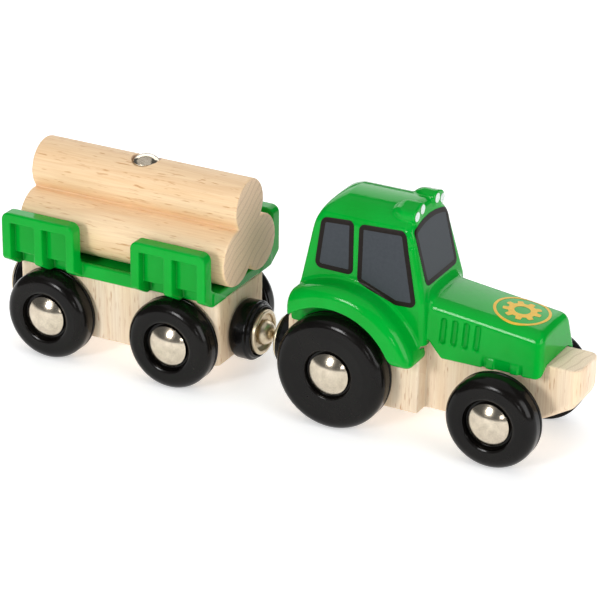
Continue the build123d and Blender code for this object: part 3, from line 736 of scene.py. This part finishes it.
add_coupling("tractor", CONTACT_X, -1, "tractor", "tractor_magnet")
add_coupling("trailer_front", CONTACT_X, 1, "trailer", "trailer_magnet")
add_coupling("trailer_rear", REAR_FACE_X, -1, "trailer", "trailer_rear_magnet")

stud_corners = [
    (0, -STUD_SHANK, 0), (PIN_RADIUS, -STUD_SHANK, 0.15), (PIN_RADIUS, 0, 0.05),
    (STUD_RADIUS, 0, 0.1), (STUD_RADIUS, 0.4, 0.12),
] + dome(STUD_RADIUS, 0.4, STUD_HEIGHT) + [(0, STUD_HEIGHT, 0)]
stud_place = np.array((LOG_MID_X, 0, STUD_SEAT_Z))
stud = turn_round("log_stud_dome", stud_corners, stud_place, (0, 0, 1), 96)
stand_in(stud, "load", "nickel", "log_stud")

# ------------------------------------------------------------------ printing on the tractor
# Ink stands PRINT_TOP proud of the body and its hidden underside lies at PRINT_ROOT
PRINT_TOP, PRINT_ROOT = 0.05, -0.05
LANDING_STEPS, LANDING_PACE = 90, 0.85
# For each view: where a flat loop starts, clear of the body, and the way in which it lands
PRINT_VIEWS = {
    "right": (lambda u, v: (u, -25 + 0 * u, v), (0, 1, 0)),
    "left": (lambda u, v: (u, 25 + 0 * u, v), (0, -1, 0)),
    "front": (lambda u, v: (40 + 0 * u, u, v), (-1, 0, 0)),
    "rear": (lambda u, v: (-20 + 0 * u, u, v), (1, 0, 0)),
    "top": (lambda u, v: (u, v, 60 + 0 * u), (0, 0, -1)),
}


def tractor_surface(x, y, z):
    """The body's field with x counted from the rear axle."""
    return body_field(x + REAR_AXLE_X, y, z)


def land(loop, view):
    """Points of a flat loop dropped on the body along a view, with the body's normals there."""
    spread, direction = PRINT_VIEWS[view]
    points = np.stack(spread(loop[:, 0], loop[:, 1]), axis=1)
    for _ in range(LANDING_STEPS):
        gap = tractor_surface(*points.T)[:, None]
        points = points + LANDING_PACE * gap * np.array(direction)
    normals = slope(tractor_surface, points)
    return points, normals / np.linalg.norm(normals, axis=1)[:, None]


def printed(name, slot, loops, view, ring, top=PRINT_TOP):
    """A thin skin of ink over nested loops. A ring has a hole; otherwise its middle is filled."""
    count = len(loops[0])
    landed = [land(loop, view) for loop in loops]
    upper_points = [p + top * n for p, n in landed]
    lower_points = [p + PRINT_ROOT * n for p, n in landed]
    points = np.concatenate(upper_points + lower_points)
    normals = np.concatenate([n for _, n in landed] * 2)
    depth = len(loops)
    faces = []
    for k in range(count):
        j = (k + 1) % count
        for i in range(depth - 1):
            upper = (i * count + k, i * count + j, (i + 1) * count + j, (i + 1) * count + k)
            faces.append(upper)
            faces.append([v + depth * count for v in reversed(upper)])
        faces.append((j, k, depth * count + k, depth * count + j))
        if ring:
            last = (depth - 1) * count
            faces.append((last + k, last + j, last + j + depth * count, last + k + depth * count))
    if not ring:
        last = (depth - 1) * count
        faces.append([last + k for k in range(count)])
        faces.append([last + k + depth * count for k in reversed(range(count))])
    points[:, 0] += REAR_AXLE_X
    stand_in(mesh_piece(name, points, faces, normals), "tractor", slot)


def filled_loops(outline, steps=12):
    """Loops shrinking from an outline to a small ring round its middle."""
    middle = outline.mean(axis=0)
    return [middle + (outline - middle) * (1 - 0.97 * k / (steps - 1)) for k in range(steps)]


def finer(points, away, spacing=0.8):
    """An outline with more points along its long straight parts."""
    more_points, more_away = [], []
    for i in range(len(points)):
        j = (i + 1) % len(points)
        steps = max(1, math.ceil(np.linalg.norm(points[j] - points[i]) / spacing))
        for k in range(steps):
            more_points.append(points[i] + (points[j] - points[i]) * k / steps)
            more_away.append(away[i] + (away[j] - away[i]) * k / steps)
    return np.array(more_points), np.array(more_away)


OUTLINE_WIDTH = 1.0


def window(name, corners, view):
    """One printed pane: a grey field inside a dark outline."""
    outer, away = finer(*ease(corners))
    loops = [outer - away * OUTLINE_WIDTH * k / 3 for k in range(4)]
    printed(f"{name}_outline", "outline_print", loops, view, True, PRINT_TOP + 0.015)
    pane = outer - away * (OUTLINE_WIDTH - 0.1)
    printed(f"{name}_pane", "window_print", filled_loops(pane), view, False)


REAR_PANE = [(-5.3, 43.4, 1.5), (1.9, 43.8, 1.2), (2.4, 32.6, 1.2), (-6.3, 32.7, 1.5)]
FRONT_PANE = [
    (3.1, 43.5, 1.2), (13.3, 43.9, 1.5), (16.8, 28.6, 1.3), (12.1, 28.4, 1.3), (3.4, 31.6, 1.3),
]
for view in ("right", "left"):
    window(f"cab_rear_side_window_{view}", REAR_PANE, view)
    window(f"cab_front_side_window_{view}", FRONT_PANE, view)
arch = [(5.2, 44.55, 0), (2.7, 45.0, 0), (0, 45.15, 0), (-2.7, 45.0, 0), (-5.2, 44.55, 0)]
WINDSHIELD = [(7.5, 43.9, 1.3)] + arch + [(-7.5, 43.9, 1.3), (-7.2, 32.4, 1.4), (7.2, 32.4, 1.4)]
window("cab_windshield", WINDSHIELD, "front")
REAR_GLASS = [(6.2, 42.6, 1.5), (-6.2, 42.6, 1.5), (-6.8, 33.0, 1.5), (6.8, 33.0, 1.5)]
window("cab_rear_window", REAR_GLASS, "rear")


def circle(u, v, radius, count=64):
    """A round loop."""
    angles = np.linspace(0, 2 * math.pi, count, endpoint=False)
    return np.stack((u + radius * np.cos(angles), v + radius * np.sin(angles)), axis=1)


LAMP_RADIUS, LAMP_TOP = 0.98, 0.07
OUTER_LAMP, INNER_LAMP = (5.75, 46.42), (3.4, 47.2)
for label, side, (y, z) in (
    ("outer_right", -1, OUTER_LAMP), ("inner_right", -1, INNER_LAMP),
    ("inner_left", 1, INNER_LAMP), ("outer_left", 1, OUTER_LAMP),
):
    face = filled_loops(circle(side * y, z, LAMP_RADIUS), 5)
    printed(f"lamp_face_{label}", "lamp_print", face, "front", False, LAMP_TOP)

BADGE_X = 35.4
badge_ring = [circle(BADGE_X, 0, radius, 128) for radius in (5.85, 5.65, 5.45, 5.25)]
printed("hood_badge_ring", "badge_print", badge_ring, "top", True)


def cog(radius, tooth, teeth, count=240):
    """A cog-shaped loop round the badge's middle."""
    angles = np.linspace(0, 2 * math.pi, count, endpoint=False)
    wave = np.clip(2.6 * np.cos(teeth * angles), -1, 1)
    reach = radius + tooth * wave
    return np.stack((BADGE_X + reach * np.cos(angles), reach * np.sin(angles)), axis=1)


COG_RADIUS, COG_TOOTH, COG_TEETH = 3.45, 0.5, 9
cog_loops = [cog(COG_RADIUS - 0.36 * k, COG_TOOTH * (1 - k / 5), COG_TEETH) for k in range(6)]
printed("hood_badge_cog", "badge_print", cog_loops, "top", True)

# ------------------------------------------------------------------ finishes
def linear(red, green, blue):
    """A display colour, 0 to 255, as scene-linear red, green, blue and alpha."""
    parts = [c / 255 for c in (red, green, blue)]
    return [c / 12.92 if c <= 0.04045 else ((c + 0.055) / 1.055) ** 2.4 for c in parts] + [1]


class Finish:
    """One procedural material, written node by node in millimetre coordinates."""

    def __init__(self, name):
        self.material = bpy.data.materials.new(name)
        self.material.use_nodes = True
        self.tree = self.material.node_tree
        self.shader = self.tree.nodes["Principled BSDF"]
        place = self.add("TexCoord")
        self.at = self.math3("SCALE", place.outputs["Object"], scale=1000)

    def add(self, kind, inputs=None, **settings):
        node = self.tree.nodes.new("ShaderNode" + kind)
        for key, value in settings.items():
            setattr(node, key, value)
        for key, value in (inputs or {}).items():
            self.feed(node.inputs[key], value)
        return node

    def feed(self, socket, value):
        if isinstance(value, bpy.types.NodeSocket):
            self.tree.links.new(value, socket)
        else:
            socket.default_value = value

    def math(self, operation, a, b=0.0):
        return self.add("Math", {0: a, 1: b}, operation=operation).outputs[0]

    def math3(self, operation, a, b=(0, 0, 0), scale=1.0):
        node = self.add("VectorMath", {0: a}, operation=operation)
        if operation == "SCALE":
            node.inputs["Scale"].default_value = scale
        else:
            self.feed(node.inputs[1], b)
        return node.outputs[0]

    def noise(self, scale, detail=2.0, at=None, roughness=0.5):
        inputs = {"Vector": at or self.at, "Scale": scale, "Detail": detail, "Roughness": roughness}
        return self.add("TexNoise", inputs).outputs["Fac"]

    def spread(self, value, low, high, to_low, to_high):
        inputs = {0: value, 1: low, 2: high, 3: to_low, 4: to_high}
        return self.add("MapRange", inputs).outputs[0]

    def blend(self, factor, a, b):
        node = self.add("Mix", data_type="RGBA")
        self.feed(node.inputs[0], factor)
        self.feed(node.inputs[6], a)
        self.feed(node.inputs[7], b)
        return node.outputs[2]

    def bump(self, height, depth):
        """height runs 0 to 1 and stands for depth millimetres."""
        inputs = {"Height": height, "Distance": depth * MM, "Strength": 1.0}
        self.feed(self.shader.inputs["Normal"], self.add("Bump", inputs).outputs[0])

    def set(self, **sockets):
        for key, value in sockets.items():
            self.feed(self.shader.inputs[key.replace("_", " ")], value)


def plastic(name, dark, light, gloss, rough, shine):
    """Moulded gloss plastic with a faint flow tone, handling scuffs and a fine skin."""
    finish = Finish(name)
    flow = finish.spread(finish.noise(0.12, 3), 0.35, 0.65, 0, 1)
    stretched = finish.math3("MULTIPLY", finish.at, (0.35, 1.6, 3.4))
    scuff = finish.spread(finish.noise(1.1, 5, stretched, 0.65), 0.62, 0.74, 0, 1)
    patch = finish.spread(finish.noise(0.5, 3), 0.3, 0.7, gloss, rough)
    finish.set(
        Base_Color=finish.blend(flow, dark, light),
        Roughness=finish.math("ADD", patch, finish.math("MULTIPLY", scuff, 0.12)),
        IOR=1.5,
        Specular_IOR_Level=shine,
    )
    finish.bump(finish.noise(0.9, 4), 0.02)
    return finish.material


def metal(name, dark, light, gloss, rough, speckle):
    """Plated metal with a fine speckle and rubbed patches."""
    finish = Finish(name)
    grain = finish.noise(8.0, 4, roughness=0.75)
    patch = finish.noise(0.7, 4)
    fine, coarse = finish.math("MULTIPLY", grain, 0.75), finish.math("MULTIPLY", patch, 0.25)
    tone = finish.math("ADD", fine, coarse)
    finish.set(
        Base_Color=finish.blend(finish.spread(tone, 0.38, 0.62, 0, 1), dark, light),
        Metallic=1.0,
        Roughness=finish.spread(tone, 0.3, 0.7, rough, gloss),
    )
    finish.bump(grain, speckle)
    return finish.material


def beech(name, along, pale, warm, fleck, end_tone, ring_tone, pith):
    """Sanded beech: growth rings round a pith line, fine fibres, and short dark flecks."""
    finish = Finish(name)
    parts = finish.add("SeparateXYZ", {0: finish.at}).outputs
    order = {"X": (0, 1, 2), "Z": (2, 0, 1)}[along]
    length, across, up = (parts[i] for i in order)

    def stretch(a, b, c):
        scaled = [finish.math("MULTIPLY", part, f) for part, f in ((length, a), (across, b), (up, c))]
        return finish.add("CombineXYZ", {0: scaled[0], 1: scaled[1], 2: scaled[2]}).outputs[0]

    sway = finish.math("MULTIPLY", finish.noise(1.0, 2, stretch(0.012, 0.05, 0.05)), 9.0)
    du = finish.math("ADD", across, -pith[0])
    dv = finish.math("ADD", up, -pith[1])
    reach = finish.math("POWER", finish.math(
        "ADD", finish.math("POWER", finish.math("ABSOLUTE", du), 2.0),
        finish.math("POWER", finish.math("ABSOLUTE", dv), 2.0)), 0.5)
    rings = finish.math("FRACT", finish.math("MULTIPLY", finish.math("ADD", reach, sway), 0.52))
    late = finish.spread(rings, 0.72, 1.0, 0, 1)
    broad = finish.spread(finish.noise(1.0, 3, stretch(0.014, 0.22, 0.22)), 0.35, 0.65, 0, 1)
    fibre = finish.spread(finish.noise(1.0, 4, stretch(0.10, 3.4, 3.4), 0.6), 0.35, 0.65, 0, 1)
    dash = finish.noise(1.0, 1.0, stretch(0.30, 2.4, 2.4))
    dashes = finish.spread(dash, 0.63, 0.73, 0, 1)
    density = finish.spread(finish.noise(0.16, 2), 0.35, 0.6, 0.25, 0.85)
    normal = finish.add("NewGeometry").outputs["Normal"]
    local = finish.add(
        "VectorTransform", {0: normal}, vector_type="NORMAL", convert_from="WORLD", convert_to="OBJECT"
    )
    facing = finish.add("SeparateXYZ", {0: local.outputs[0]}).outputs[order[0]]
    end = finish.spread(finish.math("ABSOLUTE", facing), 0.72, 0.9, 0, 1)

    side = finish.blend(broad, pale, warm)
    side = finish.blend(finish.math("MULTIPLY", fibre, 0.22), side, fleck)
    side = finish.blend(finish.math("MULTIPLY", late, 0.16), side, fleck)
    side = finish.blend(finish.math("MULTIPLY", dashes, density), side, fleck)
    pores = finish.spread(finish.noise(4.2, 3, roughness=0.7), 0.4, 0.66, 0, 0.5)
    cap = finish.blend(finish.math("MULTIPLY", late, 0.7), end_tone, ring_tone)
    cap = finish.blend(pores, cap, ring_tone)
    finish.set(
        Base_Color=finish.blend(end, side, cap),
        Roughness=finish.spread(fibre, 0, 1, 0.5, 0.66),
        IOR=1.42,
    )
    raised, sunk = finish.math("MULTIPLY", fibre, 0.4), finish.math("MULTIPLY", dashes, 0.8)
    finish.bump(finish.math("SUBTRACT", raised, sunk), 0.035)
    return finish.material


def ink(name, dark, light, gloss, rough):
    """Pad-printed ink with a faint mottle."""
    finish = Finish(name)
    mottle = finish.spread(finish.noise(1.6, 4), 0.35, 0.65, 0, 1)
    finish.set(
        Base_Color=finish.blend(mottle, dark, light),
        Roughness=finish.spread(mottle, 0, 1, gloss, rough),
        Specular_IOR_Level=0.14,
    )
    finish.bump(finish.noise(1.2, 3), 0.008)
    return finish.material


FINISHES = {
    "green_plastic": plastic(
        "green_gloss_plastic", linear(0, 158, 44), linear(0, 165, 50), 0.10, 0.15, 0.17
    ),
    "wheel_black": plastic(
        "black_wheel_plastic", linear(14, 12, 11), linear(20, 18, 16), 0.13, 0.22, 0.17
    ),
    "coupling_black": plastic(
        "black_coupling_plastic", linear(10, 9, 9), linear(15, 14, 14), 0.13, 0.22, 0.2
    ),
    "nickel": metal(
        "plated_nickel", linear(184, 170, 150), linear(230, 218, 198), 0.12, 0.22, 0.002
    ),
    "magnet_nickel": metal(
        "magnet_plating", linear(190, 174, 146), linear(224, 210, 184), 0.26, 0.42, 0.003
    ),
    "axle_steel": metal(
        "drawn_steel", linear(120, 118, 115), linear(170, 168, 164), 0.22, 0.4, 0.006
    ),
    "beech": beech(
        "pale_beech", "Z", linear(252, 234, 208), linear(246, 220, 186), linear(205, 158, 116),
        linear(250, 228, 200), linear(214, 184, 152), (-190.0, 40.0),
    ),
    "log_beech": beech(
        "warm_beech", "X", linear(251, 223, 184), linear(244, 207, 161), linear(205, 150, 98),
        linear(246, 212, 182), linear(204, 166, 136), (60.0, -70.0),
    ),
    "window_print": ink("grey_window_ink", linear(62, 66, 71), linear(65, 69, 74), 0.34, 0.42),
    "outline_print": ink("dark_outline_ink", linear(26, 19, 15), linear(29, 22, 18), 0.34, 0.4),
    "lamp_print": ink("white_lamp_ink", linear(214, 228, 220), linear(226, 238, 231), 0.2, 0.3),
    "badge_print": ink("gold_badge_ink", linear(230, 182, 58), linear(240, 196, 76), 0.3, 0.42),
}


def dress():
    """Give every piece of the object, and every CAD node that stays shown, its finish."""
    record_slots = {part["node"]: part["material_slot"] for part in frame["record"]["subparts"]}
    for item in bpy.context.scene.objects:
        if item.type != "MESH":
            continue
        slot_name = item.get("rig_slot") or record_slots.get(item.name)
        if slot_name not in FINISHES:
            continue
        if not item.data.materials:
            item.data.materials.append(FINISHES[slot_name])
        for i in range(len(item.data.materials)):
            item.data.materials[i] = FINISHES[slot_name]


dress()

# ------------------------------------------------------------------ floor and light
FLOOR_GLOW = 0.4
FLOOR_REACH = 4000.0
WORLD_GLOW = 0.12
LAMP_AIM = Vector((0, 0, 0.02))


def add_floor():
    """A plain white floor, large enough to fill the view."""
    finish = Finish("white_floor")
    tone = finish.spread(finish.noise(0.01, 3), 0.3, 0.7, 0, 1)
    finish.set(
        Base_Color=finish.blend(tone, linear(250, 250, 250), linear(254, 254, 254)),
        Roughness=0.75,
    )
    finish.shader.inputs["Emission Color"].default_value = (1, 1, 1, 1)
    finish.shader.inputs["Emission Strength"].default_value = FLOOR_GLOW
    finish.bump(finish.noise(0.8, 3), 0.01)
    points = FLOOR_REACH * MM * np.array([(-1, -1, 0), (1, -1, 0), (1, 1, 0), (-1, 1, 0)])
    mesh = bpy.data.meshes.new("studio_floor")
    mesh.from_pydata(points.tolist(), [], [(0, 1, 2, 3)])
    floor = add_piece("studio_floor", mesh)
    mesh.materials.append(finish.material)


def add_panel(name, direction, distance, width, height, power):
    """A soft rectangular light, in metres and watts, that looks at the middle of the toy."""
    data = bpy.data.lights.new(name, "AREA")
    data.shape = "RECTANGLE"
    data.size = width
    data.size_y = height
    data.energy = power
    lamp = bpy.data.objects.new(name, data)
    aim = Vector(direction).normalized()
    lamp.location = aim * distance + LAMP_AIM
    lamp.rotation_euler = aim.to_track_quat("Z", "Y").to_euler()
    bpy.context.scene.collection.objects.link(lamp)


add_floor()
add_panel("overhead_sheet", (-0.15, -0.1, 0.98), 1.5, 2.2, 2.2, 9.0)
add_panel("back_wall_panel", (-0.37, 0.82, 0.50), 1.4, 1.9, 0.9, 11.5)
add_panel("front_right_panel", (0.88, -0.25, 0.36), 1.2, 0.7, 0.7, 7.0)
add_panel("front_strip", (-0.20, -0.89, 0.38), 1.1, 0.22, 0.30, 5.0)
add_panel("right_head", (0.47, -0.83, 0.20), 1.1, 0.12, 0.12, 0.45)

world = bpy.data.worlds.new("studio")
world.use_nodes = True
background = world.node_tree.nodes["Background"]
background.inputs["Color"].default_value = (0.9, 0.95, 1.0, 1)
background.inputs["Strength"].default_value = WORLD_GLOW
bpy.context.scene.world = world
bpy.context.scene.view_settings.view_transform = "Standard"
